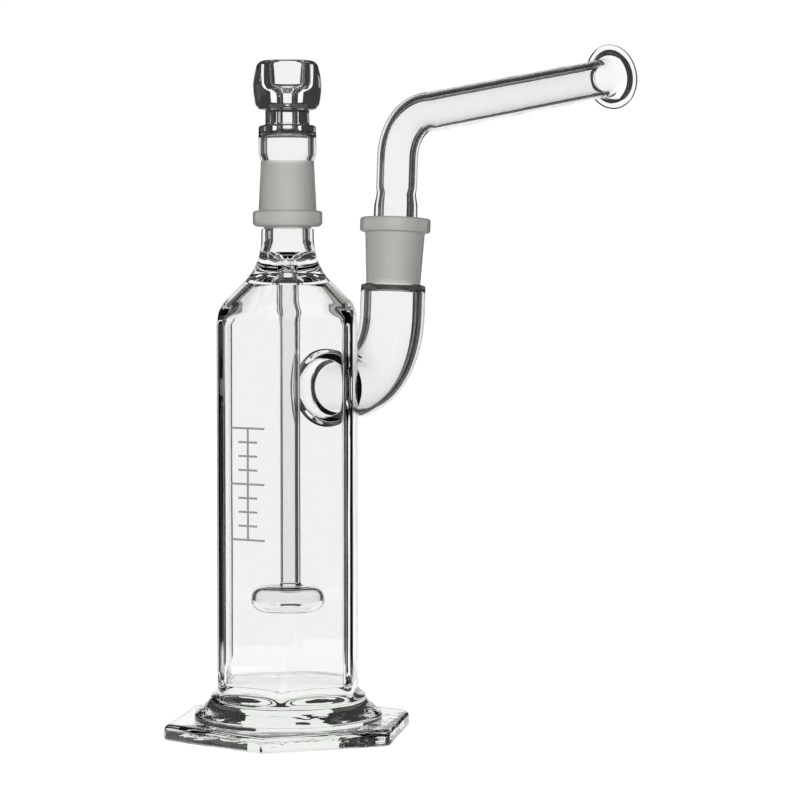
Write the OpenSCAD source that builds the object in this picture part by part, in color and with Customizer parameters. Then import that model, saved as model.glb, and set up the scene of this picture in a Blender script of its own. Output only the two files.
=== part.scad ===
// Clear glass bubbler with a hexagonal water chamber, a pull-off bowl and a turning mouthpiece.
// Millimetres, +Z up. Origin at the centre of the foot's underside.
// +X points from the chamber's axis towards the side joint, which leans out a little.

/* [Foot] */
// Width of the hexagonal foot across its flats
foot_across = 91.2; // [84:0.2:104]
// Thickness of the foot plate
foot_t = 6.4; // [5:0.2:9]
// Turn of the foot against the chamber's flats, in degrees
foot_turn = -5; // [-10:1:10]
// Rounding of the foot's upright corners
foot_corner_r = 4.5; // [1:0.5:8]
// Radius of the solid flare where it meets the plate
flare_r = 37.8; // [34:0.2:41]
// Height of the flare
flare_h = 6.8; // [4:0.2:9]
// Height of the weld between flare and chamber
bead_h = 3.8; // [3:0.2:6]

/* [Chamber] */
// Width of the chamber across its flats
chamber_across = 54; // [50:0.5:60]
// Rounding of the chamber's upright corners, outside
chamber_corner_r = 5; // [3:0.5:8]
// Wall of the chamber
chamber_wall = 3.6; // [2.5:0.1:4.4]
// Height of the straight part of the chamber
chamber_h = 149; // [130:1:170]
// Thickness of the floor inside the chamber
floor_t = 3.4; // [2.5:0.1:5]

/* [Shoulder and neck] */
// Height of the shoulder that narrows the hexagon to the neck
shoulder_h = 24; // [22:0.5:26]
// Outer radius of the neck
neck_r = 10.6; // [10.2:0.1:11.5]
// Bore radius of the neck
neck_bore_r = 7.2; // [6.4:0.1:7.6]
// Bore radius at the neck's foot, where the stem's seal fills it
neck_foot_r = 9.2; // [8.8:0.1:9.6]
// Height of the neck, flared foot included
neck_h = 12.6; // [10:0.2:16]

/* [Ground joints, 19/26] */
// Large diameter of the cone
ground_d = 18.8; // [18.8:0.1:18.8]
// Length of the ground surface
ground_l = 26; // [26:1:26]
// Radial gap between cone and socket
ground_gap = 0.08; // [0.05:0.01:0.1]
// Bore radius through the cones
cone_bore_r = 6; // [5:0.1:6.2]

/* [Bowl] */
// Radius of the rolled rim at the bottom of the bowl's socket
bowl_rim_r = 13.9; // [13:0.1:15]
// Radius of the clear dome over the joint
dome_r = 11.6; // [11.2:0.1:13]
// Largest radius of the cup
cup_r = 13.8; // [13.4:0.1:16]
// Height of the cup above its neck
cup_h = 19.7; // [18:0.1:26]

/* [Downstem] */
// Outer radius of the stem
stem_r = 4.4; // [4:0.1:5]
// Bore radius of the stem
stem_bore_r = 2.8; // [2:0.1:3]
// Outer radius of the hollow diffuser disc
disc_r = 14; // [12:0.5:18]
// Height of the diffuser disc
disc_h = 10.4; // [9:0.2:14]
// Height of the disc's middle above the ground
disc_z = 54.6; // [45:0.2:70]

/* [Side arm] */
// Height of the side hole above the ground
arm_z = 138; // [130:1:140]
// Distance from the chamber's axis to the foot of the side joint's axis
joint_x = 75.6; // [74:0.2:84]
// Outward lean of the side joint's axis from the upright, in degrees
joint_lean = 3.5; // [0:0.5:5]
// Outer radius of the side arm
arm_r = 13.7; // [13.2:0.1:14.5]
// Bore radius of the side arm
arm_bore_r = 10.2; // [9.5:0.1:10.8]
// Radius of the side hole in the chamber's wall, from which the bore narrows through the weld
arm_hole_r = 12.2; // [10.8:0.1:12.4]
// Bend radius of the side arm's centreline
arm_bend_r = 31; // [28:1:33]
// Radius of the rolled rim on the side socket
side_rim_r = 14.9; // [14:0.1:16]

/* [Mouthpiece] */
// Turn of the mouthpiece about its joint at rest, in degrees from +X
mouth_turn = -10; // [-20:1:20]
// Rise of the mouthpiece's arm from square to its joint's axis, in degrees
mouth_rise = 13; // [0:0.2:20]
// Outer radius of the mouthpiece's tube
mouth_r = 8.65; // [8.2:0.05:9.2]
// Bore radius of the mouthpiece's tube
mouth_bore_r = 6.2; // [5:0.1:6.4]
// Outer radius of the thicker shank on the cone
shank_r = 9.3; // [9.2:0.05:9.38]
// Length from the joint's axis to the face of the lip
mouth_reach = 145; // [120:1:180]
// Radius of the lip's rolled edge
lip_r = 14.8; // [13:0.1:17]

/* [Hidden] */
$fn = 96;
STEPS = 8;          // points in a quarter arc of a turned profile
EPS = 0.01;         // overrun of a cut past the face it opens

// heights of the stack on the chamber's axis
flare_z = foot_t;
bead_z = flare_z + flare_h;
chamber_z = bead_z + bead_h;
shoulder_z = chamber_z + chamber_h;
neck_z = shoulder_z + shoulder_h;
cone_z = neck_z + neck_h;
bowl_z = cone_z + 0.6;
rim_h = 6.4;
socket_top = cone_z + ground_l + 0.8;
dome_top = socket_top + 14.2;
cup_z = dome_top + 5.8;
cup_top = cup_z + cup_h;
bowl_neck_r = 9;
bowl_bore_r = 3;

// the flare from the neck to the shoulder: concave arc, straight slope, convex arc
neck_arc_r = 24;
neck_arc_z = neck_z + 8.2;
shoulder_arc_r = 6;
corner_out = corner_reach(chamber_across, chamber_corner_r);
bead_r = corner_out + 1.8;
inner_across = chamber_across - 2 * chamber_wall;
inner_corner_r = 2;
corner_in = corner_reach(inner_across, inner_corner_r);
// on the straight slope, radius plus height is this sum
slope_out = neck_r + neck_arc_r + neck_arc_z - neck_arc_r * sqrt(2);
slope_in = slope_out - (chamber_wall + 0.2) * sqrt(2);
inner_arc_r = 8;
inner_arc_c = [neck_foot_r + inner_arc_r,
    slope_in - neck_foot_r - inner_arc_r + inner_arc_r * sqrt(2)];
neck_taper_l = 8;
seal_z = neck_z - 11;
seal_under = seal_z + 2;
seal_top = neck_z + 3;

// side arm and side joint, with heights along the joint's leaning axis
weld_l = 6.5;
bend_x = joint_x - arm_bend_r;
riser_x = bend_x + arm_bend_r * cos(joint_lean);
elbow_top = arm_z + arm_bend_r - arm_bend_r * sin(joint_lean);
side_top = 207.7;
side_rim_h = 6.1;
side_foot = side_top - ground_l - 1.9;
side_foot_r = 11.4;

// mouthpiece, in its own upright plane
shank_top = side_top + 13.1;
bend_r = 21;
bend_z = shank_top + 12.4;
bend_angle = 90 - mouth_rise;
bend_end = [bend_r - bend_r * sin(mouth_rise), bend_z + bend_r * cos(mouth_rise)];
lip_l = 8;
tube_l = mouth_reach - bend_end[0] / cos(mouth_rise) - lip_l;

glass = [0.84, 0.90, 0.90, 0.45];
thick_glass = [0.62, 0.70, 0.66, 0.7];
ground_glass = [0.74, 0.74, 0.70];
enamel = [0.55, 0.57, 0.56];

// radius of the cone at a distance up from its large end
function cone_r(up) = ground_d / 2 - up / 20;
// inner radius of the neck at the top of the stem's seal, on the taper above its foot
function wall_at_seal_top() =
    neck_foot_r - (neck_foot_r - neck_bore_r) * (seal_top - neck_z) / neck_taper_l;
// distance from the axis to the rounded corner of a hexagon
function corner_reach(across, r) = (across / 2 - r) / cos(30) + r;
// points on an arc of a turned profile
function arc(c, r, a0, a1, n = STEPS) =
    [for (i = [0:n]) let (a = a0 + (a1 - a0) * i / n) [c[0] + r * cos(a), c[1] + r * sin(a)]];
// outline of a hexagon with rounded corners, with flats facing +X and -X
function hex_points(across, r) =
    [for (k = [0:5]) let (a = 60 * k + 30, d = (across / 2 - r) / cos(30))
        each arc([d * cos(a), d * sin(a)], r, a - 30, a + 30, 6)];

module hex_prism(across, r, z0, z1) {
    translate([0, 0, z0]) linear_extrude(z1 - z0) polygon(hex_points(across, r));
}

// a tube or cone between two heights, with a bore that may be tapered
module ring(z0, z1, r0, r1, b0, b1) {
    rotate_extrude() polygon([[b0, z0], [r0, z0], [r1, z1], [b1, z1]]);
}

// a rolled rim: a ring whose outer edges are rounded
module rolled_rim(z0, z1, r, edge, b0, b1) {
    rotate_extrude() polygon([[b0, z0], each arc([r - edge, z0 + edge], edge, -90, 0, 5),
        each arc([r - edge, z1 - edge], edge, 0, 90, 5), [b1, z1]]);
}

// the side joint's axis leans about the top of the elbow's bend
module in_side_joint() {
    translate([riser_x, 0, elbow_top]) rotate([0, joint_lean, 0]) translate([0, 0, -elbow_top])
        children();
}

module in_mouthpiece() {
    in_side_joint() rotate([0, 0, mouth_turn]) children();
}

// along the mouthpiece's arm, with local +Z running out to the lip
module along_arm(start) {
    in_mouthpiece() translate([bend_end[0], 0, bend_end[1]]) rotate([0, 90 - mouth_rise, 0])
        translate([0, 0, start]) children();
}

module foot_plate() {
    color(thick_glass) rotate([0, 0, foot_turn])
        hex_prism(foot_across, foot_corner_r, 0, foot_t);
}

// the solid base swells from the chamber down to the plate in one curve
module foot_flare() {
    lip = 1.4;
    color(thick_glass) rotate_extrude() polygon([[0, flare_z], [flare_r, flare_z],
        each arc([flare_r - lip, flare_z + lip], lip, 0, 50, 4),
        [(flare_r + bead_r) / 2, bead_z - 3.2], [bead_r, bead_z], [0, bead_z]]);
}

module foot_bead() {
    color(thick_glass) rotate_extrude() polygon([[0, bead_z], [bead_r, bead_z],
        [corner_out + 0.7, bead_z + bead_h / 2], [corner_out, chamber_z], [0, chamber_z]]);
}

module chamber_floor() {
    color(glass) hex_prism(inner_across, inner_corner_r, chamber_z, chamber_z + floor_t);
}

module chamber_tube() {
    color(glass) difference() {
        hex_prism(chamber_across, chamber_corner_r, chamber_z, shoulder_z);
        hex_prism(inner_across, inner_corner_r, chamber_z - EPS, shoulder_z + EPS);
        translate([inner_across / 2 - 1, 0, arm_z]) rotate([0, 90, 0])
            cylinder(r = arm_hole_r, h = chamber_wall + 2);
    }
}

// the hexagon cut round by a turned profile, hollowed by the same pair of shapes
module chamber_shoulder() {
    shoulder_c = [corner_out - shoulder_arc_r,
        slope_out - corner_out + shoulder_arc_r - shoulder_arc_r * sqrt(2)];
    inner_c = [corner_in - 2, slope_in - corner_in + 2 - 2 * sqrt(2)];
    neck_c = [neck_r + neck_arc_r, neck_arc_z];
    start = 180 + asin((neck_arc_z - neck_z) / neck_arc_r);
    color(glass) difference() {
        intersection() {
            hex_prism(chamber_across, chamber_corner_r, shoulder_z, neck_z);
            rotate_extrude() polygon([[0, shoulder_z], [corner_out, shoulder_z],
                each arc(shoulder_c, shoulder_arc_r, 0, 45),
                each arc(neck_c, neck_arc_r, 225, start), [0, neck_z]]);
        }
        intersection() {
            hex_prism(inner_across, inner_corner_r, shoulder_z - EPS, neck_z + EPS);
            rotate_extrude() polygon([[0, shoulder_z - EPS], [corner_in, shoulder_z - EPS],
                each arc(inner_c, 2, 0, 45),
                each arc(inner_arc_c, inner_arc_r, 225, 180),
                [neck_foot_r, neck_z + EPS], [0, neck_z + EPS]]);
        }
    }
}

module neck_tube() {
    start = 180 + asin((neck_arc_z - neck_z) / neck_arc_r);
    color(glass) rotate_extrude() polygon([[neck_foot_r, neck_z],
        each arc([neck_r + neck_arc_r, neck_arc_z], neck_arc_r, start, 180, 5),
        [neck_r, cone_z - 0.8], [neck_r - 0.8, cone_z], [neck_bore_r, cone_z],
        [neck_bore_r, neck_z + neck_taper_l], [wall_at_seal_top(), seal_top]]);
}

module neck_cone() {
    color(ground_glass)
        ring(cone_z, cone_z + ground_l, cone_r(0), cone_r(ground_l), cone_bore_r, cone_bore_r);
}

// melted glass that joins the stem to the shoulder's and the neck's walls
module ring_seal() {
    dish = 2;
    color(glass) rotate_extrude() polygon([[stem_bore_r, seal_under], [stem_r + 2.4, seal_under],
        [slope_in - seal_z, seal_z], each arc(inner_arc_c, inner_arc_r, 225, 180),
        [neck_foot_r, neck_z], [wall_at_seal_top(), seal_top],
        [stem_bore_r + dish, seal_top - 1.6], [stem_bore_r, seal_top - 3.6]]);
}

module downstem() {
    color(glass) ring(disc_z + disc_h / 2, seal_under, stem_r, stem_r, stem_bore_r, stem_bore_r);
}

// hollow puck: the stem opens into its top, and the smoke leaves by the hole underneath
module diffuser_disc() {
    wall = 1.4;
    edge = disc_h / 2;
    outlet_r = 4.2;
    c = [disc_r - edge, disc_z];
    color(glass) rotate_extrude() polygon([
        [outlet_r, disc_z - edge], each arc(c, edge, -90, 90), [stem_bore_r, disc_z + edge],
        [stem_bore_r, disc_z + edge - wall], each arc(c, edge - wall, 90, -90),
        [outlet_r, disc_z - edge + wall]]);
}

// printed water-level scale on the face opposite the side arm
module level_scale() {
    proud = 0.25;
    foot = 80;
    pitch = 5.5;
    ticks = 8;
    face = -chamber_across / 2 - proud;
    color(enamel) union() {
        translate([face, -0.4, foot]) cube([proud, 0.8, pitch * ticks]);
        for (i = [0:ticks]) {
            half = (i % 4 == 0) ? 8 : 4.5;
            translate([face, -half, foot + i * pitch - 0.4]) cube([proud, 2 * half, 0.8]);
        }
    }
}

// flared weld where the side arm leaves the chamber's face
module arm_weld() {
    out = chamber_across / 2;
    flare = 2.2;
    shoulder = out + weld_l - flare - 1.5;
    color(glass) difference() {
        translate([0, 0, arm_z]) rotate([0, 90, 0]) rotate_extrude()
            polygon([[arm_hole_r, out], [arm_hole_r, out - 4], [arm_r + flare, out - 4],
                [arm_r + flare, shoulder],
                each arc([arm_r + flare, shoulder + flare], flare, 270, 180),
                [arm_r, out + weld_l], [arm_bore_r, out + weld_l]]);
        hex_prism(chamber_across, chamber_corner_r, chamber_z, shoulder_z);
    }
}

// straight run and bend of one tube
module side_elbow() {
    start = chamber_across / 2 + weld_l;
    color(glass) union() {
        translate([start, 0, arm_z]) rotate([0, 90, 0])
            ring(0, bend_x - start, arm_r, arm_r, arm_bore_r, arm_bore_r);
        translate([bend_x, 0, arm_z + arm_bend_r]) rotate([90, 0, 0]) rotate([0, 0, -90])
            rotate_extrude(angle = 90 - joint_lean) translate([arm_bend_r, 0]) difference() {
                circle(r = arm_r);
                circle(r = arm_bore_r);
            }
    }
}

// thick end of the side arm, rounded in to the ground socket
module side_riser() {
    edge = arm_r - side_foot_r;
    color(glass) in_side_joint() rotate_extrude() polygon([[arm_bore_r, elbow_top],
        [arm_r, elbow_top], each arc([arm_r - edge, side_foot - edge], edge, 0, 90),
        [cone_r(ground_l) + ground_gap, side_foot], [arm_bore_r, side_foot - 3]]);
}

module side_socket() {
    top = side_top - side_rim_h;
    color(ground_glass) in_side_joint()
        ring(side_foot, top, side_foot_r, 12.7, cone_r(side_top - side_foot) + ground_gap,
            cone_r(side_rim_h) + ground_gap);
}

module side_socket_rim() {
    color(ground_glass) in_side_joint()
        rolled_rim(side_top - side_rim_h, side_top, side_rim_r, 1.1,
            cone_r(side_rim_h) + ground_gap, cone_r(0) + ground_gap);
}

module bowl_socket_rim() {
    color(ground_glass)
        rolled_rim(bowl_z, bowl_z + rim_h, bowl_rim_r, 1.2,
            cone_r(bowl_z - cone_z) + ground_gap, cone_r(bowl_z + rim_h - cone_z) + ground_gap);
}

module bowl_socket() {
    foot = bowl_z + rim_h;
    color(ground_glass)
        ring(foot, socket_top, 11.8, 10.6, cone_r(foot - cone_z) + ground_gap,
            cone_r(socket_top - cone_z) + ground_gap);
}

// clear hollow dome between the ground socket and the cup
module bowl_dome() {
    wall = 2.4;
    low = 2.6;
    high = 3.6;
    color(glass) rotate_extrude() polygon([
        [cone_r(socket_top - cone_z) + ground_gap, socket_top], [10.6, socket_top],
        each arc([dome_r - low, socket_top + 0.6 + low], low, -45, 0, 4),
        each arc([dome_r - high, dome_top - high], high, 0, 80, 6), [bowl_neck_r, dome_top],
        [bowl_bore_r, dome_top], [bowl_bore_r, dome_top - wall],
        each arc([dome_r - wall - 3, dome_top - wall - 3], 3, 90, 0, 6),
        [dome_r - wall, socket_top + 3]]);
}

module bowl_neck() {
    color(glass) ring(dome_top, cup_z, bowl_neck_r, bowl_neck_r, bowl_bore_r, bowl_bore_r);
}

// thick-walled barrel with a round-bottomed well and a rounded rim
module bowl_cup() {
    rim = 1.6;
    well_r = 7;
    color(glass) rotate_extrude() polygon([[bowl_bore_r, cup_z], [bowl_neck_r, cup_z],
        each arc([cup_r - 4.4, cup_z + 3.2], 3.2, -90, -15, 5), [cup_r - 0.5, cup_z + 5],
        [cup_r, cup_z + 8.5], [cup_r, cup_z + 11], [cup_r - 0.6, cup_top - 4.4],
        each arc([cup_r - 2 - rim, cup_top - rim], rim, 15, 90, 5),
        each arc([well_r + 0.8, cup_top - 0.8], 0.8, 90, 180, 4), [well_r, cup_z + 9.8],
        [well_r - 0.9, cup_z + 8.3], [bowl_bore_r, cup_z + 7]]);
}

module mouth_cone() {
    color(ground_glass) in_side_joint()
        ring(side_top - ground_l, side_top, cone_r(ground_l), cone_r(0), cone_bore_r, cone_bore_r);
}

module mouth_shank() {
    color(glass) in_side_joint() rotate_extrude() polygon([[cone_bore_r, side_top],
        [shank_r, side_top], [shank_r, shank_top - 1], [mouth_r, shank_top],
        [mouth_bore_r, shank_top], [mouth_bore_r, side_top + 3]]);
}

// short upright run and the bend over to the arm, of one tube
module mouth_bend() {
    color(glass) in_mouthpiece() union() {
        ring(shank_top, bend_z, mouth_r, mouth_r, mouth_bore_r, mouth_bore_r);
        translate([bend_r, 0, bend_z]) rotate([90, 0, 180])
            rotate_extrude(angle = bend_angle) translate([bend_r, 0]) difference() {
                circle(r = mouth_r);
                circle(r = mouth_bore_r);
            }
    }
}

module mouth_arm() {
    color(glass) along_arm(0) ring(0, tube_l, mouth_r, mouth_r, mouth_bore_r, mouth_bore_r);
}

// tube end flared to a flat lip with a rolled edge and a dished face
module mouth_lip() {
    fillet = 4.4;
    edge = 1.5;
    fillet_c = [mouth_r + fillet, 1.4];
    edge_c = [lip_r - edge, lip_l - edge];
    color(glass) along_arm(tube_l) rotate_extrude() polygon([[mouth_bore_r, 0], [mouth_r, 0],
        each arc(fillet_c, fillet, 180, 100), each arc(edge_c, edge, -60, 90),
        [12, lip_l - 0.5], [9.6, lip_l - 2.2], [7.4, lip_l - 4.6], [mouth_bore_r, lip_l - 6.8]]);
}

foot_plate();
foot_flare();
foot_bead();
chamber_floor();
chamber_tube();
chamber_shoulder();
neck_tube();
neck_cone();
ring_seal();
downstem();
diffuser_disc();
level_scale();
arm_weld();
side_elbow();
side_riser();
side_socket();
side_socket_rim();
bowl_socket_rim();
bowl_socket();
bowl_dome();
bowl_neck();
bowl_cup();
mouth_cone();
mouth_shank();
mouth_bend();
mouth_arm();
mouth_lip();
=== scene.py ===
import math

import bmesh
import bpy
import numpy as np
from mathutils import Matrix, Vector


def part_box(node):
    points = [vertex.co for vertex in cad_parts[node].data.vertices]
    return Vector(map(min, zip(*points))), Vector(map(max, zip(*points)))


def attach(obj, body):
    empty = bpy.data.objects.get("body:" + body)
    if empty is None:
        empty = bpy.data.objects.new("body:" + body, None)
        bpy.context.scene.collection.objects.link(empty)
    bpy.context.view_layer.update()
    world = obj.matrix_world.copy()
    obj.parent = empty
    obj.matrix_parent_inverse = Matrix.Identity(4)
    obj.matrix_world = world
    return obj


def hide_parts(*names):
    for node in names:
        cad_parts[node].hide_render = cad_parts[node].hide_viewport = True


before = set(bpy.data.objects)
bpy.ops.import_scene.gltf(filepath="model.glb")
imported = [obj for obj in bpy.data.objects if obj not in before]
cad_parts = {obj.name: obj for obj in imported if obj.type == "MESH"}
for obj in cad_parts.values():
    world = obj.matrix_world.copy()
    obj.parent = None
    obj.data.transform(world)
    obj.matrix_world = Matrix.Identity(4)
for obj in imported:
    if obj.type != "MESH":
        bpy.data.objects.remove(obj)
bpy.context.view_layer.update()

bl_info = {
    "name": "Hexagonal glass bubbler",
    "version": (1, 0, 0),
    "blender": (4, 5, 0),
    "location": "3D View > Sidebar > Bubbler",
    "description": "Fused glass chamber, ground joints, bowl and turning mouthpiece",
    "category": "Object",
}

MM = 0.001
ROUND = 96  # columns round a turned piece
NECK_ARC = 24.0  # radius of the hollow curve from the shoulder into the neck, outside
NECK_ARC_RISE = 8.2  # height of that curve's centre over the foot of the neck
NECK_TAPER = 8.0  # height over which the neck's bore narrows above its foot
SEAL_ARC = 8.0  # radius of the inner wall's curve where the stem's seal is
MELT = 2.4  # width over which the shoulder's creases are melted
CLEAR, GROUND, WELD, SLAB = range(4)  # finishes of a piece's faces, in the order of its slots


# --- where things are, in millimetres, read off the frame ---


def low(node):
    """Height of a node's underside."""
    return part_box(node)[0].z / MM


def high(node):
    """Height of a node's top."""
    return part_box(node)[1].z / MM


# --- sizes, finishes and stage that a user may change ---


def length(name, text, value, top=None):
    """A length in millimetres with its range from nought."""
    return bpy.props.FloatProperty(
        name=name, description=text + ", in millimetres", default=value, min=0, max=top or 4 * value
    )


def tint(name, text, value):
    """A colour that may be changed."""
    return bpy.props.FloatVectorProperty(
        name=name, description=text, default=value, size=3, min=0, max=1, subtype="COLOR"
    )


def angle(name, text, degrees):
    """An angle, shown in degrees."""
    return bpy.props.FloatProperty(
        name=name, description=text, default=math.radians(degrees), subtype="ANGLE", unit="ROTATION"
    )


def amount(name, text, value, top=1.0):
    """A plain number with its range from nought."""
    return bpy.props.FloatProperty(name=name, description=text, default=value, min=0, max=top)


class BubblerSizes(bpy.types.PropertyGroup):
    """Widths, walls and bends of the glass."""

    foot_across: length("Foot", "Width of the foot across its flats", 91.2)
    foot_turn: angle("Foot turn", "Turn of the foot against the chamber", -5)
    flare_r: length("Flare", "Radius of the flare on the foot", 37.8)
    chamber_across: length("Chamber", "Width of the chamber across its flats", 54)
    chamber_corner: length("Corner", "Rounding of the chamber's corners", 5)
    chamber_wall: length("Wall", "Wall of the chamber", 3.6)
    neck_r: length("Neck", "Outer radius of the neck", 10.6)
    neck_bore: length("Neck bore", "Bore radius of the neck", 7.2)
    neck_foot: length("Neck foot", "Bore radius of the neck at its foot", 9.2)
    ground_r: length("Cone", "Large radius of the ground cones", 9.4)
    ground_l: length("Ground length", "Length of the ground surfaces", 26)
    ground_gap: length("Gap", "Radial gap in the ground joints", 0.08)
    cone_bore: length("Cone bore", "Bore radius of the cones", 6)
    stem_r: length("Stem", "Outer radius of the stem", 4.4)
    stem_bore: length("Stem bore", "Bore radius of the stem", 2.8)
    arm_z: length("Arm height", "Height of the side arm", 138)
    joint_x: length("Joint place", "Distance of the side joint from the axis", 75.6)
    joint_lean: angle("Joint lean", "Outward lean of the side joint", 3.5)
    arm_r: length("Arm", "Outer radius of the side arm", 13.7)
    arm_bore: length("Arm bore", "Bore radius of the side arm", 10.2)
    arm_hole: length("Side hole", "Radius of the hole in the chamber's wall", 12.2)
    arm_bend: length("Arm bend", "Bend radius of the side arm", 31)
    socket_foot: length("Socket foot", "Outer radius of the side socket's foot", 11.4)
    socket_top: length("Socket top", "Height of the side socket along its axis", 207.7)
    mouth_turn: angle("Mouthpiece turn", "Turn of the mouthpiece at rest", -10)
    mouth_rise: angle("Mouthpiece rise", "Rise of the mouthpiece's arm", 13)
    mouth_r: length("Mouthpiece", "Outer radius of the mouthpiece's tube", 8.65)
    mouth_bore: length("Mouthpiece bore", "Bore radius of the mouthpiece's tube", 6.2)
    mouth_bend: length("Mouthpiece bend", "Bend radius of the mouthpiece", 21)
    mouth_reach: length("Reach", "Length from the joint's axis to the lip", 145)
    lip_r: length("Lip", "Radius of the lip", 14.8)


class BubblerFinish(bpy.types.PropertyGroup):
    """Colours and surface of the glass."""

    clear: tint("Clear glass", "Tint of the clear glass", (0.985, 0.99, 0.985))
    thick: tint("Thick glass", "Tint of the foot's thick glass", (0.85, 0.88, 0.84))
    ground: tint("Ground glass", "Tint of the ground surfaces", (0.95, 0.945, 0.90))
    enamel: tint("Enamel", "Colour of the printed level scale", (0.23, 0.24, 0.235))
    grain: amount("Grain", "Roughness of the ground surfaces", 0.34)
    index: amount("Index", "Refractive index of the glass", 1.47, 2.0)


class BubblerStage(bpy.types.PropertyGroup):
    """Camera and lights."""

    azimuth: angle("Azimuth", "Direction of view, from +Y towards -X", -56.6)
    pitch: angle("Pitch", "How far the camera looks down", 2.788)
    aside: angle("Aside", "Angle of the chamber's axis left of the view's middle", 2.235)
    distance: bpy.props.FloatProperty(
        name="Distance", description="Camera to the chamber's axis", default=1.15, unit="LENGTH"
    )
    height: bpy.props.FloatProperty(
        name="Height", description="Height of the camera", default=0.19, unit="LENGTH"
    )
    lens: bpy.props.FloatProperty(
        name="Lens", description="Focal length", default=129.375, unit="CAMERA"
    )
    backdrop: amount("Backdrop", "Brightness of the white card behind the glass", 1.05, 4)
    surround: amount("Surround", "Brightness of the dark studio round about", 0.045, 4)


def sizes():
    return bpy.context.scene.bubbler_sizes


def look():
    return bpy.context.scene.bubbler_finish


# --- outlines and paths ---


def rounded(corners, step=1e9, closed=True):
    """Outline through corners (radius, height, fillet, finish of the side that follows).
    A corner becomes an arc tangent to both its sides, with centre on their bisector, and long
    sides are cut into equal parts no longer than step. Returns points and one finish a side."""
    flat = [(*c, CLEAR)[:4] if len(c) == 3 else c for c in corners]
    points, finishes = [], []
    count = len(flat)
    for i, (x, y, fillet, finish) in enumerate(flat):
        p = np.array([x, y], float)
        a = np.array(flat[i - 1][:2], float) - p
        b = np.array(flat[(i + 1) % count][:2], float) - p
        if fillet and (closed or 0 < i < count - 1):
            la, lb = np.hypot(*a), np.hypot(*b)
            u, v = a / la, b / lb
            half = math.acos(float(np.clip(u @ v, -1, 1))) / 2
            reach = min(fillet / math.tan(half), 0.49 * la, 0.49 * lb)
            radius = reach * math.tan(half)
            middle = p + (u + v) / np.hypot(*(u + v)) * radius / math.sin(half)
            steps = max(3, int(math.degrees(math.pi - 2 * half) / 9))
            turn = np.linspace(0, 1, steps + 1)[:, None]
            start, end = p + u * reach - middle, p + v * reach - middle
            spread = math.pi - 2 * half
            bow = (np.sin((1 - turn) * spread) * start + np.sin(turn * spread) * end) / math.sin(spread)
            points += list(middle + bow)
            finishes += [finish] * (steps + 1)
        else:
            points.append(p)
            finishes.append(finish)
    out, kinds = [], []
    last = len(points) if closed else len(points) - 1
    for i in range(last):
        p, q = points[i], points[(i + 1) % len(points)]
        parts = max(1, math.ceil(float(np.hypot(*(q - p))) / step))
        out += [p + (q - p) * k / parts for k in range(parts)]
        kinds += [finishes[i]] * parts
    if not closed:
        out.append(points[-1])
    return np.array(out), kinds


def arc(centre, radius, start, end, count=10):
    """Points on an arc between two angles in degrees."""
    a = np.radians(np.linspace(start, end, count))
    return np.stack([centre[0] + radius * np.cos(a), centre[1] + radius * np.sin(a)], -1)


class Path:
    """A straight run, a bend of one radius, and a straight run, in one plane.
    At length s the bend has turned by a = (s - run) / radius, kept between 0 and its full turn;
    the place is start + run * d + radius * (sin a * d + (1 - cos a) * n), plus what is left of s
    along the tangent cos a * d + sin a * n."""

    def __init__(self, start, ahead, side, run=0.0, radius=1.0, turn=0.0):
        self.start, self.ahead, self.side = (np.array(v, float) for v in (start, ahead, side))
        self.run, self.radius, self.turn = run, radius, turn
        self.length = run + radius * turn

    def at(self, s):
        """Place, in-plane normal and tangent at each length."""
        a = np.clip((s - self.run) / self.radius, 0, self.turn)[..., None]
        ahead = np.where(s < self.run, s, self.run)[..., None]
        rest = np.where(s < self.run, 0, s - self.run)[..., None] - self.radius * a
        tangent = np.cos(a) * self.ahead + np.sin(a) * self.side
        normal = np.cos(a) * self.side - np.sin(a) * self.ahead
        bend = self.radius * (np.sin(a) * self.ahead + (1 - np.cos(a)) * self.side)
        return self.start + ahead * self.ahead + bend + rest * tangent, normal, tangent


UPRIGHT = Path((0, 0, 0), (0, 0, 1), (1, 0, 0))


def carried(radius, along, path, columns=ROUND):
    """Rings carried along a path: at each length the ring of that radius stands square to it,
    place + radius * (cos t * normal + sin t * binormal)."""
    t = np.linspace(0, 2 * math.pi, columns, endpoint=False)
    radius, along = np.broadcast_arrays(np.asarray(radius, float), np.asarray(along, float))
    if radius.ndim == 1:
        radius, along = radius[:, None] + 0 * t, along[:, None] + 0 * t
    place, normal, tangent = path.at(along)
    binormal = np.cross(tangent, normal)
    return place + radius[..., None] * (
        np.cos(t)[None, :, None] * normal + np.sin(t)[None, :, None] * binormal
    )


def hexagon(across, corner, t):
    """Radius at angle t of a hexagon with a flat at t = 0 and rounded corners: half the width
    over cos t on the flats, and the corner's circle between them."""
    off = np.abs((t + math.pi / 6) % (math.pi / 3) - math.pi / 6)
    centre = (across / 2 - corner) / math.cos(math.pi / 6)
    flat_end = math.atan((across / 2 - corner) * math.tan(math.pi / 6) / (across / 2))
    b = math.pi / 6 - off
    curve = centre * np.cos(b) + np.sqrt(np.maximum(corner**2 - (centre * np.sin(b)) ** 2, 0))
    return np.where(off < flat_end, across / 2 / np.cos(off), curve)


def softly_less(a, b, blend):
    """The smaller of two radii, with the crease between them melted over the blend's width."""
    near = np.maximum(blend - np.abs(a - b), 0) / blend
    return np.minimum(a, b) - near**2 * blend / 4


# --- meshes ---


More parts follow.
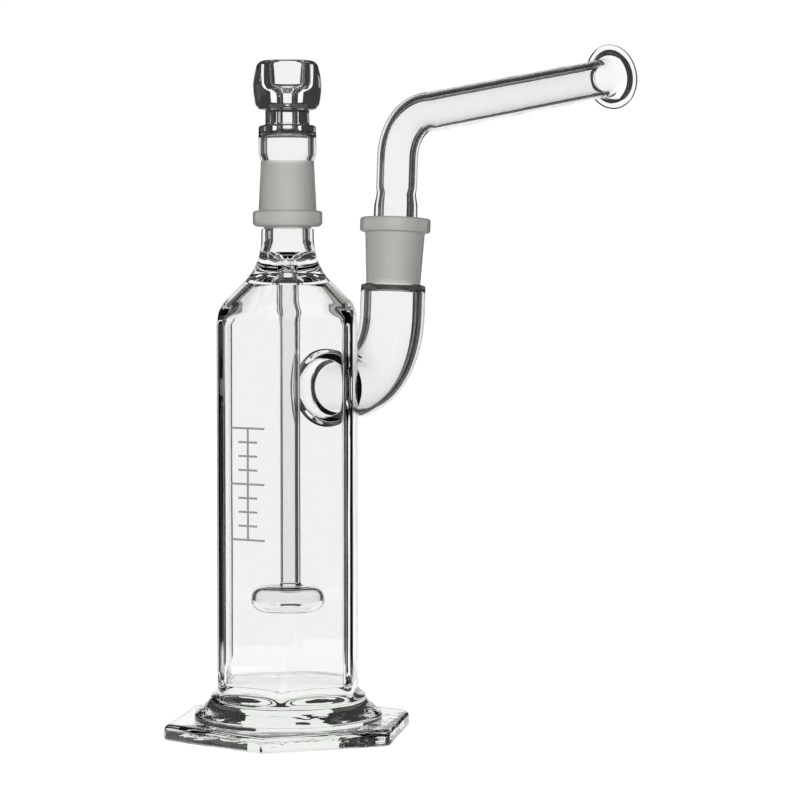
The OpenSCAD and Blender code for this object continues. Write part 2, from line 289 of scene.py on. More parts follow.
class Skin:
    """Collects rows of points and the quads between them, for one closed piece."""

    def __init__(self):
        self.points, self.quads, self.finishes, self.count = [], [], [], 0

    def add(self, points):
        """Keeps an array of points and returns their numbers in the same shape."""
        shape = points.shape[:-1]
        ids = np.arange(self.count, self.count + int(np.prod(shape))).reshape(shape)
        self.points.append(points.reshape(-1, 3))
        self.count += ids.size
        return ids

    def sheet(self, ids, finishes, ring=True, keep=None):
        """Quads between neighbouring rows and columns, joined round the ring."""
        if ring:
            ids = np.concatenate([ids, ids[:, :1]], 1)
        quads = np.stack([ids[:-1, :-1], ids[:-1, 1:], ids[1:, 1:], ids[1:, :-1]], -1)
        kinds = np.broadcast_to(np.asarray(finishes)[:, None], quads.shape[:2])
        if keep is None:
            keep = np.ones(quads.shape[:2], bool)
        self.quads.append(quads[keep])
        self.finishes.append(kinds[keep])

    def make(self, name, body, materials, nodes):
        """The finished mesh, riding on its body in place of the nodes it stands for."""
        points = np.concatenate(self.points) * MM
        quads = np.concatenate(self.quads)
        kinds = np.concatenate(self.finishes)
        used, quads = np.unique(quads, return_inverse=True)
        quads = quads.reshape(-1, 4)
        mesh = bpy.data.meshes.new(name)
        mesh.from_pydata(points[used], [], [list(dict.fromkeys(q)) for q in quads.tolist()])
        for material in materials:
            mesh.materials.append(material)
        mesh.polygons.foreach_set("material_index", kinds)
        shell = bmesh.new()
        shell.from_mesh(mesh)
        bmesh.ops.recalc_face_normals(shell, faces=shell.faces)
        if any(not e.is_manifold for e in shell.edges):
            raise RuntimeError(f"{name} has open edges")
        shell.to_mesh(mesh)
        shell.free()
        mesh.shade_smooth()
        mesh.set_sharp_from_angle(angle=math.radians(35))
        piece = bpy.data.objects.new(name, mesh)
        bpy.context.scene.collection.objects.link(piece)
        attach(piece, body)
        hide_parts(*nodes)
        return piece


def turned(name, corners, body, materials, nodes, path=UPRIGHT, step=1e9, matrix=None):
    """A piece whose closed wall outline (radius, length along the path) is carried round it."""
    outline, finishes = rounded(corners, step)
    points = carried(outline[:, 0], outline[:, 1], path)
    skin = Skin()
    ids = skin.add(moved(points, matrix))
    skin.sheet(np.concatenate([ids, ids[:1]]), finishes)
    return skin.make(name, body, materials, nodes)


def moved(points, matrix):
    """Points taken through a placement."""
    if matrix is None:
        return points
    m = np.array(matrix)
    return points @ m[:3, :3].T + m[:3, 3]


# --- finishes ---


class Sum:
    """A socket's value in an expression; each operator adds its Math node."""

    def __init__(self, tree, socket):
        self.tree, self.socket = tree, socket

    def _math(self, operation, a, b):
        node = self.tree.nodes.new("ShaderNodeMath")
        node.operation = operation
        for socket, value in zip(node.inputs, (a, b)):
            if isinstance(value, Sum):
                self.tree.links.new(value.socket, socket)
            else:
                socket.default_value = value
        return Sum(self.tree, node.outputs[0])

    def __add__(self, other):
        return self._math("ADD", self, other)

    def __radd__(self, other):
        return self._math("ADD", other, self)

    def __mul__(self, other):
        return self._math("MULTIPLY", self, other)

    def __rmul__(self, other):
        return self._math("MULTIPLY", other, self)

    def __sub__(self, other):
        return self._math("SUBTRACT", self, other)

    def __rsub__(self, other):
        return self._math("SUBTRACT", other, self)


class Finish:
    """One material under construction."""

    def __init__(self, name):
        self.material = bpy.data.materials.new(name)
        self.material.use_nodes = True
        self.tree = self.material.node_tree
        self.shader = self.tree.nodes["Principled BSDF"]

    def node(self, kind, settings=None, sockets=None, out=0):
        """A node of this type with its settings, then its sockets' values or links."""
        node = self.tree.nodes.new("ShaderNode" + kind)
        for key, value in (settings or {}).items():
            setattr(node, key, value)
        for key, value in (sockets or {}).items():
            self.put(node, key, value)
        return Sum(self.tree, node.outputs[out])

    def put(self, node, key, value):
        if isinstance(value, Sum):
            self.tree.links.new(value.socket, node.inputs[key])
        else:
            node.inputs[key].default_value = value

    def shade(self, **sockets):
        """Sets the shader's sockets, named with underscores for spaces."""
        for key, value in sockets.items():
            self.put(self.shader, key.replace("_", " "), value)
        return self.material

    def place(self, stretch=(1, 1, 1)):
        """Object coordinates, stretched."""
        coordinates = self.node("TexCoord", out=3)
        return self.node("Mapping", None, {"Vector": coordinates, "Scale": stretch})

    def noise(self, scale, detail=2.0, stretch=(1, 1, 1)):
        """Smooth noise between 0 and 1."""
        return self.node(
            "TexNoise", None, {"Vector": self.place(stretch), "Scale": scale, "Detail": detail}
        )

    def between(self, factor, first, second):
        """A colour mixed from two."""
        return self.node(
            "Mix", {"data_type": "RGBA"}, {0: factor, 6: (*first, 1), 7: (*second, 1)}, 2
        )

    def bump(self, height, strength, distance):
        return self.node(
            "Bump", None, {"Height": height, "Strength": strength, "Distance": distance}
        )


def shaded(colour, share):
    """A colour darkened by a share."""
    return tuple(c * (1 - share) for c in colour)


def lampworked_glass():
    """Lampworked clear glass: long soft waves along the draw and a trace of haze."""
    f, own = Finish("lampworked_glass"), look()
    waves = f.noise(38, 1.5, (1, 1, 0.35))
    haze = f.noise(160, 3)
    return f.shade(
        Base_Color=f.between(haze, own.clear, shaded(own.clear, 0.015)),
        Roughness=haze * 0.012,
        Normal=f.bump(waves, 0.25, 0.0006),
        Transmission_Weight=1.0,
        IOR=own.index,
    )


def slab_glass():
    """The foot's pressed slab: a green cast and slow swirls."""
    f, own = Finish("slab_glass"), look()
    swirl = f.noise(45, 3)
    return f.shade(
        Base_Color=f.between(swirl, own.thick, shaded(own.thick, 0.05)),
        Roughness=swirl * 0.02,
        Normal=f.bump(swirl, 0.35, 0.001),
        Transmission_Weight=1.0,
        IOR=own.index,
    )


def ground_surface():
    """Ground joint: fine even grain with faint rings from the grinding."""
    f, own = Finish("ground_surface"), look()
    grain = f.noise(2600, 4)
    rings = f.noise(300, 2, (0.15, 0.15, 3))
    return f.shade(
        Base_Color=f.between(rings, own.ground, shaded(own.ground, 0.08)),
        Roughness=own.grain - 0.1 + grain * 0.2,
        Normal=f.bump(grain + rings * 0.3, 0.2, 0.00005),
        Transmission_Weight=0.72,
        IOR=own.index,
    )


def fused_inside():
    """Where two pieces are fused there is no surface, so these faces let light straight on."""
    f = Finish("fused_inside")
    return f.shade(Base_Color=(1, 1, 1, 1), Roughness=0.0, Alpha=0.0)


def fired_enamel():
    """Fired print: matt, a little thin in places."""
    f, own = Finish("fired_enamel"), look()
    thin = f.noise(900, 3)
    return f.shade(
        Base_Color=f.between(thin, own.enamel, shaded(own.enamel, 0.3)),
        Roughness=0.45 + thin * 0.3,
        Normal=f.bump(thin, 0.3, 0.00005),
    )


MAKERS = {
    m.__name__: m
    for m in (lampworked_glass, slab_glass, ground_surface, fused_inside, fired_enamel)
}


def finish(name):
    """The material of this name, made once."""
    return bpy.data.materials.get(name) or MAKERS[name]()


def glass():
    """Slots of a glass piece, in the order of CLEAR, GROUND and WELD."""
    return [finish("lampworked_glass"), finish("ground_surface"), finish("fused_inside")]


# --- placements ---


def side_joint():
    """The side joint's axis leans about the end of the elbow's bend."""
    s = sizes()
    x = s.joint_x - s.arm_bend + s.arm_bend * math.cos(s.joint_lean)
    z = s.arm_z + s.arm_bend - s.arm_bend * math.sin(s.joint_lean)
    turn = Matrix.Rotation(s.joint_lean, 4, "Y")
    return Matrix.Translation((x, 0, z)) @ turn @ Matrix.Translation((0, 0, -z))


def mouthpiece_place():
    return side_joint() @ Matrix.Rotation(sizes().mouth_turn, 4, "Z")


def cone_r(up):
    """Radius of the 1 in 10 cone at a distance up from its large end."""
    return sizes().ground_r - up / 20


# --- the foot ---


def hexagon_rows(across, corner, t, rows):
    """Rings of the hexagon drawn in by an inset: rows of (inset, height)."""
    inset = np.array([r[0] for r in rows])[:, None]
    height = np.array([r[1] for r in rows])[:, None] + 0 * t
    radius = hexagon(across, corner, t)[None] - inset
    return np.stack([radius * np.cos(t), radius * np.sin(t), height], -1)


def column_angles(across, corner, flat=14, bend=4):
    """Angles of the columns round a hexagon, close together over its rounded corners, starting
    and ending each sixth in the middle of a corner."""
    half_flat = (across / 2 - corner) * math.tan(math.pi / 6)
    edge = math.atan(half_flat / (across / 2))
    level = np.arctan(np.linspace(-half_flat, half_flat, flat + 1) / (across / 2))
    rise = np.linspace(-math.pi / 6, -edge, bend + 1)[:-1]
    fall = np.linspace(edge, math.pi / 6, bend + 1)[1:-1]
    sixth = np.concatenate([rise, level, fall])
    return (sixth[None] + np.arange(6)[:, None] * math.pi / 3).ravel()


class BUBBLER_OT_foot(bpy.types.Operator):
    """Hexagonal slab with melted edges, turned a little against the chamber"""

    bl_idname = "bubbler.foot"
    bl_label = "Foot plate"

    def execute(self, context):
        s = sizes()
        bottom, top, corner = low("foot_plate"), high("foot_plate"), 4.5
        under, over = 1.3, 2.4
        t = column_angles(s.foot_across, corner)
        quarter = np.linspace(0, math.pi / 2, 7)
        rows = [(under * (1 - math.sin(a)), bottom + under * (1 - math.cos(a))) for a in quarter]
        rows += [(over * (1 - math.cos(a)), top - over * (1 - math.sin(a))) for a in quarter]
        rim = hexagon_rows(s.foot_across, corner, t, rows)
        share = np.linspace(0, 1, 6)[1:, None, None]
        circle = np.stack([s.flare_r * np.cos(t), s.flare_r * np.sin(t), top + 0 * t], -1)
        shelf = rim[-1:] * (1 - share) + circle[None] * share
        skin = Skin()
        outside = skin.add(np.concatenate([rim, shelf]))
        poles = skin.add(np.array([[0, 0, bottom], [0, 0, top]], float))
        skin.sheet(outside, [CLEAR] * (len(outside) - 1))
        whole = np.ones_like(outside[0])
        skin.sheet(np.stack([whole * poles[0], outside[0]]), [CLEAR])
        skin.sheet(np.stack([outside[-1], whole * poles[1]]), [WELD])
        turn = np.array(Matrix.Rotation(s.foot_turn, 4, "Z"))
        skin.points = [moved(p, turn) for p in skin.points]
        materials = [finish("slab_glass"), finish("ground_surface"), finish("fused_inside")]
        skin.make("foot_plate_glass", "chamber", materials, ["foot_plate"])
        return {"FINISHED"}


# --- the chamber ---


def profile_radius(points, z):
    """Radius of an outline, given from the bottom up, at height z."""
    points = np.array(points)
    return np.interp(z, points[:, 1], points[:, 0])


def slope_sum(s, inset=0.0):
    """Radius plus height, which is the same all along the shoulder's 45 degree slope, for the
    outer wall or for a line set in from it."""
    neck = low("neck_tube")
    return s.neck_r + NECK_ARC + neck + NECK_ARC_RISE - (NECK_ARC + inset) * math.sqrt(2)


def inner_slope(s):
    """The same sum for the inner wall, which is a little thicker here than on the tube."""
    return slope_sum(s, s.chamber_wall + 0.2)


def seal_arc(s):
    """The inner wall's curve from the shoulder's slope into the neck's foot, from below."""
    across = s.neck_foot + SEAL_ARC
    centre = (across, inner_slope(s) + SEAL_ARC * math.sqrt(2) - across)
    return arc(centre, SEAL_ARC, 225, 180, 25)


def neck_wall(s):
    """The inner wall from that curve up the taper of the neck."""
    neck = low("neck_tube")
    return np.concatenate([seal_arc(s), [[s.neck_foot, neck], [s.neck_bore, neck + NECK_TAPER]]])


class BUBBLER_OT_chamber(bpy.types.Operator):
    """Foot flare, weld bead, hexagonal tube, shoulder and neck, fused into one wall with a hole
    for the side arm"""

    bl_idname = "bubbler.chamber"
    bl_label = "Chamber"

    window = 20.0  # half height of the stretch of wall that is rebuilt round the side hole
    collar = 15.9  # radius of the side arm's weld on the wall

    def execute(self, context):
        s = sizes()
        t = column_angles(s.chamber_across, s.chamber_corner)
        outer, outer_kinds = self.outside(s, t)
        inner, inner_kinds = self.inside(s, t)
        skin = Skin()
        out_ids, in_ids = skin.add(outer), skin.add(inner)
        poles = skin.add(np.array([[0, 0, outer[0, 0, 2]], [0, 0, inner[-1, 0, 2]]], float))
        whole = np.ones_like(out_ids[0])
        skin.sheet(np.stack([whole * poles[0], out_ids[0]]), [WELD])
        skin.sheet(np.stack([in_ids[-1], whole * poles[1]]), [CLEAR])
        skin.sheet(np.stack([out_ids[-1], in_ids[0]]), [WELD])
        out_hole = self.windowed(skin, out_ids, outer, outer_kinds, s, True)
        in_hole = self.windowed(skin, in_ids[::-1], inner[::-1], inner_kinds[::-1], s, False)
        skin.sheet(np.stack([out_hole, in_hole]), [CLEAR])
        nodes = ["foot_flare", "foot_bead", "chamber_floor", "chamber_tube"]
        nodes += ["chamber_shoulder", "neck_tube"]
        materials = [*glass(), finish("slab_glass")]
        skin.make("chamber_glass", "chamber", materials, nodes)
        return {"FINISHED"}

    def outside(self, s, t):
        """Rows from the foot up: flare and bead are round, the tube is the hexagon, and the
        shoulder is the lesser of the hexagon and a turned profile, melted together."""
        flare, bead, foot = low("foot_flare"), low("foot_bead"), low("chamber_tube")
        shoulder, neck, top = low("chamber_shoulder"), low("neck_tube"), high("neck_tube")
        reach = float(hexagon(s.chamber_across, s.chamber_corner, math.pi / 6))
        round_to, hexagon_from = bead + 2.2, foot + 1.6
        base, _ = rounded(
            [
                (s.flare_r, flare, 0),
                (s.flare_r, flare + 1.9, 1.6),
                (reach + 1.6, bead + 0.2, 9),
                (reach + 0.7, round_to, 4),
                (reach, hexagon_from, 0),
            ],
            0.6,
            closed=False,
        )
        hexa = hexagon(s.chamber_across, s.chamber_corner, t)
        melt = np.clip((base[:, 1] - round_to) / (hexagon_from - round_to), 0, 1)
        melt = melt**2 * (3 - 2 * melt)
        ring = (1 - melt)[:, None] * base[:, :1] + melt[:, None] * hexa[None]
        rows = np.stack([ring * np.cos(t), ring * np.sin(t), base[:, 1:] + 0 * t], -1)
        drop = 6.0
        bend = (reach - drop, slope_sum(s) - reach + drop - drop * math.sqrt(2))
        hollow = (s.neck_r + NECK_ARC, neck + NECK_ARC_RISE)
        profile = np.concatenate(
            [
                [[reach + 30, shoulder - 30]],
                arc(bend, drop, 0, 45),
                arc(hollow, NECK_ARC, 225, 180, 16),
                [[s.neck_r, top]],
            ]
        )
        z = self.heights(s, hexagon_from, shoulder, top - 0.9)[1:]
        tube = self.walls(hexa, profile, z, t)
        edge = [(s.neck_r - 0.25, top - 0.25), (s.neck_r - 0.9, top), (s.ground_r, top)]
        ends = np.stack([np.stack([r * np.cos(t), r * np.sin(t), h + 0 * t], -1) for r, h in edge])
        thick = len(rows) - 1
        rows = np.concatenate([rows, tube, ends])
        return rows, [SLAB] * thick + [CLEAR] * (len(rows) - 1 - thick)

    def inside(self, s, t):
        """Rows from the neck down to the floor. Where the stem's seal is fused to the wall there
        is no surface."""
        shoulder, top, floor = low("chamber_shoulder"), high("neck_tube"), high("chamber_floor")
        across, corner = s.chamber_across - 2 * s.chamber_wall, 2.4
        reach = float(hexagon(across, corner, math.pi / 6))
        drop = fillet = 2.0
        bend = (reach - drop, inner_slope(s) - reach + drop - drop * math.sqrt(2))
        profile = np.concatenate(
            [
                [[reach + 30, shoulder - 30]],
                arc(bend, drop, 0, 45),
                neck_wall(s),
                [[s.neck_bore, top]],
            ]
        )
        seal, seal_top = low("ring_seal"), high("ring_seal")
        z = self.heights(s, floor + fillet, shoulder, seal)
        z = np.concatenate([z, np.linspace(seal, seal_top, 13)[1:]])
        z = np.concatenate([z, np.linspace(seal_top, top, 12)[1:]])
        tube = self.walls(hexagon(across, corner, t), profile, z, t)
        curve = np.linspace(0, math.pi / 2, 8)[1:]
        inset = fillet * (1 - np.cos(curve))
        lower = hexagon_rows(across, corner, t, list(zip(inset, floor + fillet - fillet * np.sin(curve))))
        rows = np.concatenate([tube[::-1], lower])
        kinds = [WELD if seal <= zz < seal_top else CLEAR for zz in z[::-1][1:]]
        return rows, kinds + [CLEAR] * len(lower)

    def walls(self, hexa, profile, z, t):
        """Rings at each height: the lesser of the hexagon and the turned profile."""
        radius = softly_less(hexa[None], profile_radius(profile, z)[:, None], MELT)
        return np.stack([radius * np.cos(t), radius * np.sin(t), z[:, None] + 0 * t], -1)

    def heights(self, s, bottom, shoulder, top):
        """Heights of the rows, with one at each end of the window round the side hole."""
        under, over = s.arm_z - self.window, s.arm_z + self.window
        return np.concatenate(
            [
                np.linspace(bottom, under, 13)[:-1],
                np.linspace(under, over, 17),
                np.linspace(over, shoulder - 3, 3)[1:-1],
                np.linspace(shoulder - 3, top, 44),
            ]
        )

    def windowed(self, skin, ids, points, kinds, s, outer):
        """The wall's quads except a window at the side arm, which is filled with rings that run
        from the hole's circle out to the window's edge. Returns the hole's circle."""
        columns, reach = ids.shape[1], 16
        sixth = columns // 6
        ids, points = (np.roll(a, sixth + reach - sixth // 2, 1) for a in (ids, points))
        z = points[:, 0, 2]
        first = int(np.argmin(np.abs(z - (s.arm_z - self.window))))
        last = int(np.argmin(np.abs(z - (s.arm_z + self.window))))
        left, right = sixth, sixth + 2 * reach
        keep = np.ones((len(ids) - 1, columns), bool)
        keep[first:last, left:right] = False
        skin.sheet(ids, kinds, keep=keep)
        edge = [(first, j) for j in range(left, right)] + [(i, right) for i in range(first, last)]
        edge += [(last, j) for j in range(right, left, -1)] + [(i, left) for i in range(last, first, -1)]
        i, j = np.array(edge).T
        border_ids, border = ids[i, j], points[i, j]
        side = np.arctan2(border[:, 2] - s.arm_z, border[:, 1])
        wall = points[first, left : right + 1]
        rings = [s.arm_hole, 13.1, 14.0, 14.9, self.collar] if outer else [s.arm_hole, 12.8]
        circles = np.array(rings)[:, None] * np.stack([np.cos(side), np.sin(side)])[:, None]
        flat = np.stack([circles[0], circles[1] + s.arm_z], -1)
        share = np.linspace(0, 1, 6)[1:-1, None, None]
        spread = flat[-1:] * (1 - share) + border[None, :, 1:] * share
        flat = np.concatenate([flat, spread])
        order = np.argsort(wall[:, 1])
        x = np.interp(flat[..., 0], wall[order, 1], wall[order, 0])
        patch = skin.add(np.concatenate([x[..., None], flat], -1))
        fused = len(rings) - 1 if outer else 0
        skin.sheet(
            np.concatenate([patch, border_ids[None]]),
            [WELD] * fused + [CLEAR] * (len(patch) - fused),
        )
        return patch[0]


class BUBBLER_OT_downstem(bpy.types.Operator):
    """Stem that hangs in the chamber from a melted seal in the neck, with the hollow disc that
    breaks up the bubbles on its end"""

    bl_idname = "bubbler.downstem"
    bl_label = "Stem and disc"

    def execute(self, context):
        s = sizes()
        seal, seal_top = low("ring_seal"), high("ring_seal")
        under, over = low("diffuser_disc"), high("diffuser_disc")
        disc_r, wall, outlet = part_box("diffuser_disc")[1].x / MM, 1.4, 4.2
        half = (over - under) / 2
        corners = [
            *self.seal_edge(s, seal, seal_top),
            (s.stem_bore + 2, seal_top - 1.6, 2),
            (s.stem_bore, seal_top - 3.6, 1),
            (s.stem_bore, over - wall, 0.6),
            (disc_r - wall, over - wall, half - wall),
            (disc_r - wall, under + wall, half - wall),
            (outlet, under + wall, 0.6),
            (outlet, under, 0.6),
            (disc_r, under, half),
            (disc_r, over, half),
            (s.stem_r, over, 1.4),
            (s.stem_r, seal + 2, 2.4),
            (s.stem_r + 3, seal + 2, 1.2),
        ]
        nodes = ["ring_seal", "downstem", "diffuser_disc"]
        turned("downstem_glass", corners, "chamber", glass(), nodes)
        return {"FINISHED"}

    def seal_edge(self, s, seal, seal_top):
        """Corners of the seal's fused edge, on the inner wall."""
        levels = np.linspace(seal, seal_top, 13)
        edge = [(float(profile_radius(neck_wall(s), z)), z, 0, WELD) for z in levels]
        return edge[:-1] + [(*edge[-1][:3], CLEAR)]


class BUBBLER_OT_neck_cone(bpy.types.Operator):
    """Ground cone fused to the neck, which the bowl sits on"""

    bl_idname = "bubbler.neck_cone"
    bl_label = "Neck cone"

    def execute(self, context):
        s = sizes()
        foot, top = low("neck_cone"), high("neck_cone")
        corners = [
            (s.cone_bore, foot, 0),
            (s.neck_bore, foot, 0, WELD),
            (s.ground_r, foot, 0, GROUND),
            (cone_r(s.ground_l), top, 0.7),
            (s.cone_bore, top, 0.5),
        ]
        turned("neck_cone_glass", corners, "chamber", glass(), ["neck_cone"])
        return {"FINISHED"}


class BUBBLER_OT_side_arm(bpy.types.Operator):
    """Side arm with its weld collar and bend, and the ground socket on its end"""

    bl_idname = "bubbler.side_arm"
    bl_label = "Side arm"

    def execute(self, context):
        s = sizes()
        wall = s.chamber_across / 2
        run = s.joint_x - s.arm_bend - wall
        path = Path(
            (wall, 0, s.arm_z), (1, 0, 0), (0, 0, 1), run, s.arm_bend, math.pi / 2 - s.joint_lean
        )
        elbow_top = s.arm_z + s.arm_bend - s.arm_bend * math.sin(s.joint_lean)
        foot = s.socket_top - s.ground_l - 1.9
        end = path.length + foot - elbow_top
        collar = BUBBLER_OT_chamber.collar
        outline, finishes = rounded(
            [
                (s.arm_hole, 0, 0, WELD),
                (collar, 0, 0),
                (collar, 2.6, 1.6),
                (s.arm_r, 4.6, 2.4),
                (s.arm_r, end, 2.25),
                (s.socket_foot, end, 0, WELD),
                (cone_r(s.ground_l) + s.ground_gap, end, 0),
                (s.arm_bore, end - 3, 2),
                (s.arm_bore, 6, 4),
            ],
            1.5,
        )
        radius = outline[:, :1] + np.zeros(ROUND)
        along = outline[:, 1:] + np.zeros(ROUND)
        t = np.linspace(-math.pi / 3, math.pi / 3, 181)
        hexa = hexagon(s.chamber_across, s.chamber_corner, t)
        across = radius * np.sin(np.linspace(0, 2 * math.pi, ROUND, endpoint=False))
        hollow = np.interp(across, hexa * np.sin(t), hexa * np.cos(t)) - wall
        along = np.where(along < 1e-6, hollow, along)
        skin = Skin()
        ids = skin.add(carried(radius, along, path))
        skin.sheet(np.concatenate([ids, ids[:1]]), finishes)
        nodes = ["arm_weld", "side_elbow", "side_riser"]
        skin.make("side_arm_glass", "chamber", glass(), nodes)

        rim = s.socket_top - 6.1
        corners = [
            (cone_r(s.socket_top - foot) + s.ground_gap, foot, 0, WELD),
            (s.socket_foot, foot, 0, GROUND),
            (12.6, rim, 0.7, GROUND),
            (14.9, rim, 1.2, GROUND),
            (14.9, s.socket_top, 1.2, GROUND),
            (cone_r(0) + s.ground_gap, s.socket_top, 0.5, GROUND),
        ]
        nodes = ["side_socket", "side_socket_rim"]
        turned(
            "side_socket_glass", corners, "chamber", glass(), nodes,
            matrix=side_joint(),
        )
        return {"FINISHED"}


class BUBBLER_OT_bowl(bpy.types.Operator):
    """Pull-off bowl: ground socket with a rolled rim, hollow dome and thick cup"""

    bl_idname = "bubbler.bowl"
    bl_label = "Bowl"

    def execute(self, context):
        s = sizes()
        foot, rim, top = low("bowl_socket_rim"), high("bowl_socket_rim"), high("bowl_socket")
        large = low("neck_cone")
        dome, cup, mouth = high("bowl_dome"), low("bowl_cup"), high("bowl_cup")
        inner_top = cone_r(top - large) + s.ground_gap
        corners = [
            (cone_r(foot - large) + s.ground_gap, foot, 0.5, GROUND),
            (13.9, foot, 1.9, GROUND),
            (13.9, rim, 1.5, GROUND),
            (11.6, rim, 0.7, GROUND),
            (10.6, top, 0, WELD),
            (inner_top, top, 0, GROUND),
        ]
        nodes = ["bowl_socket", "bowl_socket_rim"]
        turned("bowl_socket_glass", corners, "bowl", glass(), nodes)

        bore, belly = 3.0, cup + 10.2
        corners = [
            (inner_top, top, 0, WELD),
            (10.6, top, 0),
            (11.6, top + 2.6, 2.4),
            (11.6, dome, 3.6),
            (8.9, dome, 0.8),
            (8.8, cup, 0.5),
            (11.2, cup + 0.3, 1.4),
            (12.8, cup + 2.2, 3),
            (13.4, cup + 5.6, 8),
            (13.8, belly, 10),
            (13.2, mouth - 5.4, 10),
            (12.2, mouth - 1.4, 2),
            (10.6, mouth, 2),
            (7.4, mouth, 0.9),
            (6.9, cup + 9.4, 3),
            (bore, cup + 6.6, 1.2),
            (bore, dome - 2.4, 1),
            (9.2, dome - 2.4, 3),
            (9.2, top + 3, 2),
        ]
        nodes = ["bowl_dome", "bowl_neck", "bowl_cup"]
        turned("bowl_glass", corners, "bowl", glass(), nodes)
        return {"FINISHED"}


class BUBBLER_OT_mouthpiece(bpy.types.Operator):
    """Mouthpiece: ground cone and shank in the side joint, and the bent tube with its lip"""

    bl_idname = "bubbler.mouthpiece"
    bl_label = "Mouthpiece"

    def execute(self, context):
        s = sizes()
        top, shank = s.socket_top, s.socket_top + 13.1
        corners = [
            (s.cone_bore, top - s.ground_l, 0.5),
            (cone_r(s.ground_l), top - s.ground_l, 0.7, GROUND),
            (cone_r(0), top, 0, WELD),
            (s.cone_bore, top, 0),
        ]
        turned(
            "mouth_cone_glass", corners, "mouth_joint", glass(), ["mouth_cone"],
            matrix=side_joint(),
        )
        corners = [
            (s.cone_bore, top, 0, WELD),
            (9.3, top, 0),
            (9.3, top + 5, 9),
            (s.mouth_r - 0.35, shank - 3, 7),
            (s.mouth_r, shank, 0, WELD),
            (s.mouth_bore, shank, 0),
            (s.cone_bore - 0.4, shank - 3, 4),
            (s.cone_bore, top + 5, 4),
        ]
        turned(
            "mouth_shank_glass", corners, "mouth_joint", glass(), ["mouth_shank"],
            matrix=side_joint(),
        )
        run, lip = 12.4, 8.0
        path = Path((0, 0, shank), (0, 0, 1), (1, 0, 0), run, s.mouth_bend, math.pi / 2 - s.mouth_rise)
        bend_x = s.mouth_bend * (1 - math.sin(s.mouth_rise))
        end = path.length + s.mouth_reach - bend_x / math.cos(s.mouth_rise) - lip
        corners = [
            (s.mouth_bore, 0, 0, WELD),
            (s.mouth_r, 0, 0),
            (s.mouth_r, end + 5.6, 4.2),
            (s.lip_r, end + 5.2, 1.35),
            (s.lip_r, end + lip, 1.35),
            (12.2, end + lip - 0.5, 1.5),
            (s.mouth_bore, end + 1.2, 7),
        ]
        nodes = ["mouth_bend", "mouth_arm", "mouth_lip"]
        turned(
            "mouthpiece_glass", corners, "mouthpiece", glass(), nodes,
            path=path, step=1.5, matrix=mouthpiece_place(),
        )
        return {"FINISHED"}


class BUBBLER_OT_level_scale(bpy.types.Operator):
    """Printed water-level scale on the chamber"""

    bl_idname = "bubbler.level_scale"
    bl_label = "Level scale"

    def execute(self, context):
        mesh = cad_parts["level_scale"].data
        mesh.materials.clear()
        mesh.materials.append(finish("fired_enamel"))
        return {"FINISHED"}


# --- the stage ---


def glow(name, strength):
    """A plain white light-giving surface."""
    material = bpy.data.materials.new(name)
    material.use_nodes = True
    tree = material.node_tree
    tree.nodes.clear()
    light = tree.nodes.new("ShaderNodeEmission")
    light.inputs["Strength"].default_value = strength
    out = tree.nodes.new("ShaderNodeOutputMaterial")
    tree.links.new(light.outputs[0], out.inputs["Surface"])
    return material


def card(name, width, height, material, place, camera=None, aim=None):
    """A flat card, centred on a place in the camera's own axes and facing its aim."""
    w, h = width / 2, height / 2
    mesh = bpy.data.meshes.new(name)
    mesh.from_pydata([(-w, -h, 0), (w, -h, 0), (w, h, 0), (-w, h, 0)], [], [(0, 1, 2, 3)])
    mesh.materials.append(material)
    board = bpy.data.objects.new(name, mesh)
    bpy.context.scene.collection.objects.link(board)
    board.location = place
    if aim is not None:
        board.rotation_euler = (Vector(aim) - Vector(place)).to_track_quat("Z", "Y").to_euler()
    board.parent = camera
    return board


def hide(board, *rays):
    """Keeps these kinds of ray from meeting a card."""
    for ray in rays:
        setattr(board, "visible_" + ray, False)


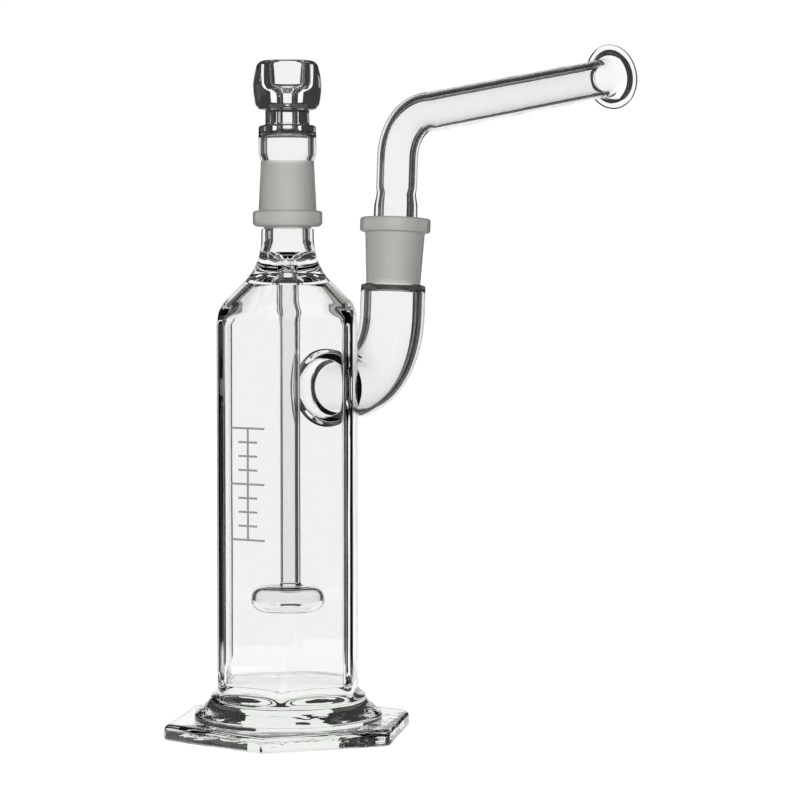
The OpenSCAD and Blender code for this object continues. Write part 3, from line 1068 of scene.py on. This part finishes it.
class BUBBLER_OT_stage(bpy.types.Operator):
    """Camera, pale floor, white card behind the glass, a panel beside it and a front fill that
    only matt surfaces take light from"""

    bl_idname = "bubbler.stage"
    bl_label = "Stage"

    def execute(self, context):
        scene, stage = context.scene, context.scene.bubbler_stage
        data = bpy.data.cameras.new("camera")
        data.lens, data.sensor_width = stage.lens, 36
        data.clip_end = 50
        camera = bpy.data.objects.new("camera", data)
        scene.collection.objects.link(camera)
        a, aside = stage.azimuth, stage.azimuth + stage.aside
        towards_axis = Vector((-math.sin(aside), math.cos(aside), 0))
        camera.location = -stage.distance * towards_axis + Vector((0, 0, stage.height))
        ahead = Vector((-math.sin(a), math.cos(a), 0)) * math.cos(stage.pitch)
        ahead.z = -math.sin(stage.pitch)
        camera.rotation_euler = ahead.to_track_quat("-Z", "Y").to_euler()
        scene.camera = camera

        white = glow("backdrop_white", stage.backdrop)
        middle = (0, 0, -1.15)
        card("backdrop", 1.3, 1.5, white, (-0.1, 0, -3.0), camera)
        side = glow("left_panel", 0.5)
        left = card("left_panel", 0.25, 0.9, side, (-1.0, 0.1, -1.3), camera, middle)
        front = glow("fill_panel", 42.0)
        fill = card("fill_panel", 0.5, 0.5, front, (-0.1, 0.2, 0.3), camera, middle)
        hide(left, "camera")
        hide(fill, "camera", "glossy", "transmission")
        floor = card("floor", 9, 9, glow("floor_paper", stage.backdrop), (0, 0, -0.0003))
        hide(floor, "diffuse", "glossy", "transmission", "shadow", "volume_scatter")
        bounce = card("floor_bounce", 0.4, 0.4, white, (0, 0, -0.0006))
        hide(bounce, "camera")

        world = bpy.data.worlds.new("studio")
        world.use_nodes = True
        background = world.node_tree.nodes["Background"]
        background.inputs["Color"].default_value = (1, 1, 1, 1)
        background.inputs["Strength"].default_value = stage.surround
        scene.world = world
        scene.view_settings.view_transform = "Standard"
        scene.cycles.max_bounces = 32
        scene.cycles.transmission_bounces = 32
        scene.cycles.transparent_max_bounces = 48
        return {"FINISHED"}


# --- panel and registration ---


STEPS = (
    BUBBLER_OT_foot,
    BUBBLER_OT_chamber,
    BUBBLER_OT_downstem,
    BUBBLER_OT_neck_cone,
    BUBBLER_OT_side_arm,
    BUBBLER_OT_bowl,
    BUBBLER_OT_mouthpiece,
    BUBBLER_OT_level_scale,
    BUBBLER_OT_stage,
)
GROUPS = {
    "bubbler_sizes": BubblerSizes,
    "bubbler_finish": BubblerFinish,
    "bubbler_stage": BubblerStage,
}


class BUBBLER_PT_panel(bpy.types.Panel):
    """Sizes, finishes and one button for each piece"""

    bl_idname = "BUBBLER_PT_panel"
    bl_label = "Glass bubbler"
    bl_space_type = "VIEW_3D"
    bl_region_type = "UI"
    bl_category = "Bubbler"

    def draw(self, context):
        for name, group in GROUPS.items():
            box = self.layout.box()
            for prop in group.__annotations__:
                box.prop(getattr(context.scene, name), prop)
        for step in STEPS:
            self.layout.operator(step.bl_idname)


def register():
    for cls in (*GROUPS.values(), *STEPS, BUBBLER_PT_panel):
        bpy.utils.register_class(cls)
    for name, group in GROUPS.items():
        setattr(bpy.types.Scene, name, bpy.props.PointerProperty(type=group))


def unregister():
    for name in GROUPS:
        delattr(bpy.types.Scene, name)
    for cls in reversed((*GROUPS.values(), *STEPS, BUBBLER_PT_panel)):
        bpy.utils.unregister_class(cls)


def main():
    register()
    for step in STEPS:
        group, name = step.bl_idname.split(".")
        getattr(getattr(bpy.ops, group), name)()


if __name__ == "__main__":
    main()
